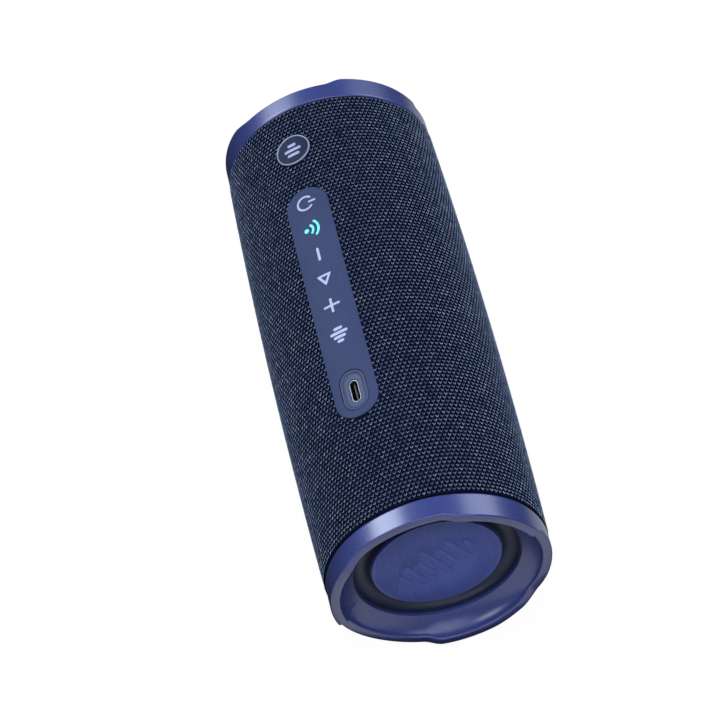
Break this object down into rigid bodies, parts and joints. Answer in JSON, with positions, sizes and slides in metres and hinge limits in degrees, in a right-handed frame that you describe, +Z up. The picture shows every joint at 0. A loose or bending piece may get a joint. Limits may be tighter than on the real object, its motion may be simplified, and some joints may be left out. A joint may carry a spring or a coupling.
{
  "type": "portable bluetooth speaker",
  "caption": "Cylindrical portable speaker in a knitted sleeve, with lobed end rings round passive radiators, a control strip with keys, and a charging port.",
  "frame": {"origin": "middle of the flat sole of the anti-roll foot, on the surface the speaker lies on", "axes": "+X along the cylinder's axis to the charging-port end, -Y the front the drivers face, +Z up"},
  "size_m": [0.1968, 0.0788, 0.0799],
  "materials": {
    "knit": "knitted polyester sleeve, navy, dull sheen",
    "ring_plastic": "satin navy moulded plastic",
    "disc_plastic": "fine-ribbed satin navy plastic",
    "surround_rubber": "dull black-navy rubber",
    "strip_rubber": "smooth satin navy elastomer",
    "lit_key": "satin navy elastomer with a lit cyan symbol",
    "port_plastic": "satin lighter navy plastic",
    "port_steel": "nickel-plated steel",
    "tongue_plastic": "black glass-filled plastic",
    "badge_metal": "polished rim",
    "badge_navy": "navy enamel on metal",
    "cage_plastic": "black moulded plastic",
    "shell_plastic": "black ABS",
    "foot_rubber": "soft navy silicone",
    "steel": "plain steel",
    "screw_steel": "black-oxide steel",
    "foam": "closed-cell foam",
    "basket_steel": "black pressed steel",
    "magnet": "zinc-plated motor pot",
    "cone_paper": "black coated paper",
    "cap_alu": "spun aluminium",
    "coil": "enamelled copper winding",
    "spider_cloth": "resin-stiffened cloth",
    "pcb": "green solder mask",
    "chip": "black epoxy",
    "switch": "black switch body",
    "led": "lit cyan light-emitting diode",
    "cell_wrap": "blue shrink wrap",
    "lead": "insulated copper lead"
  },
  "bodies": {
    "speaker": {"badge_plate": "badge_navy", "badge_ring": "badge_metal", "battery_cells": "cell_wrap", "battery_holder": "shell_plastic", "battery_leads": "lead", "board_parts": "chip", "control_strip": "strip_rubber", "driver_basket_left": "basket_steel", "driver_basket_right": "basket_steel", "driver_gasket_left": "foam", "driver_gasket_right": "foam", "driver_magnet_left": "magnet", "driver_magnet_right": "magnet", "driver_screws": "screw_steel", "driver_spider_left": "spider_cloth", "driver_spider_right": "spider_cloth", "driver_surround_left": "surround_rubber", "driver_surround_right": "surround_rubber", "end_gasket_left": "foam", "end_gasket_right": "foam", "end_ring_left": "ring_plastic", "end_ring_right": "ring_plastic", "end_screws": "screw_steel", "fabric_sleeve": "knit", "foot_strip": "foot_rubber", "front_shell": "shell_plastic", "grille_cage": "cage_plastic", "key_board": "pcb", "key_switches": "switch", "main_board": "pcb", "pairing_led": "led", "radiator_frame_left": "shell_plastic", "radiator_frame_right": "shell_plastic", "radiator_surround_left": "surround_rubber", "radiator_surround_right": "surround_rubber", "rear_shell": "shell_plastic", "speaker_leads": "lead", "usb_bezel": "port_plastic", "usb_board": "pcb", "usb_shell": "port_steel", "usb_tongue": "tongue_plastic"},
    "key_power": {"key_power": "strip_rubber"},
    "key_pairing": {"key_pairing": "lit_key"},
    "key_volume_down": {"key_volume_down": "strip_rubber"},
    "key_play": {"key_play": "strip_rubber"},
    "key_volume_up": {"key_volume_up": "strip_rubber"},
    "key_mode": {"key_mode": "strip_rubber"},
    "radiator_left": {"radiator_plate_left": "disc_plastic", "radiator_weight_left": "steel"},
    "driver_left": {"driver_cone_left": "cone_paper", "driver_dust_cap_left": "cap_alu", "driver_voice_coil_left": "coil"},
    "radiator_right": {"radiator_plate_right": "disc_plastic", "radiator_weight_right": "steel"},
    "driver_right": {"driver_cone_right": "cone_paper", "driver_dust_cap_right": "cap_alu", "driver_voice_coil_right": "coil"}
  },
  "joints": [
    {"name": "key_power_press", "type": "slide", "parent": "speaker", "child": "key_power", "axis": [0, 0.4571, -0.8894], "range_m": [0, 0.0005], "stiffness_N_per_m": 2000},
    {"name": "key_pairing_press", "type": "slide", "parent": "speaker", "child": "key_pairing", "axis": [0, 0.4571, -0.8894], "range_m": [0, 0.0005], "stiffness_N_per_m": 2000},
    {"name": "key_volume_down_press", "type": "slide", "parent": "speaker", "child": "key_volume_down", "axis": [0, 0.4571, -0.8894], "range_m": [0, 0.0005], "stiffness_N_per_m": 2000},
    {"name": "key_play_press", "type": "slide", "parent": "speaker", "child": "key_play", "axis": [0, 0.4571, -0.8894], "range_m": [0, 0.0005], "stiffness_N_per_m": 2000},
    {"name": "key_volume_up_press", "type": "slide", "parent": "speaker", "child": "key_volume_up", "axis": [0, 0.4571, -0.8894], "range_m": [0, 0.0005], "stiffness_N_per_m": 2000},
    {"name": "key_mode_press", "type": "slide", "parent": "speaker", "child": "key_mode", "axis": [0, 0.4571, -0.8894], "range_m": [0, 0.0005], "stiffness_N_per_m": 2000},
    {"name": "radiator_left_stroke", "type": "slide", "parent": "speaker", "child": "radiator_left", "axis": [1, 0, 0], "range_m": [-0.0025, 0.0025], "stiffness_N_per_m": 900, "deforming": ["radiator_surround_left"]},
    {"name": "radiator_right_stroke", "type": "slide", "parent": "speaker", "child": "radiator_right", "axis": [1, 0, 0], "range_m": [-0.0025, 0.0025], "stiffness_N_per_m": 900, "deforming": ["radiator_surround_right"]},
    {"name": "driver_left_stroke", "type": "slide", "parent": "speaker", "child": "driver_left", "axis": [0, -1, 0], "range_m": [-0.0015, 0.0015], "stiffness_N_per_m": 900, "deforming": ["driver_surround_left", "driver_spider_left"]},
    {"name": "driver_right_stroke", "type": "slide", "parent": "speaker", "child": "driver_right", "axis": [0, -1, 0], "range_m": [-0.0015, 0.0015], "stiffness_N_per_m": 900, "deforming": ["driver_surround_right", "driver_spider_right"]}
  ]
}
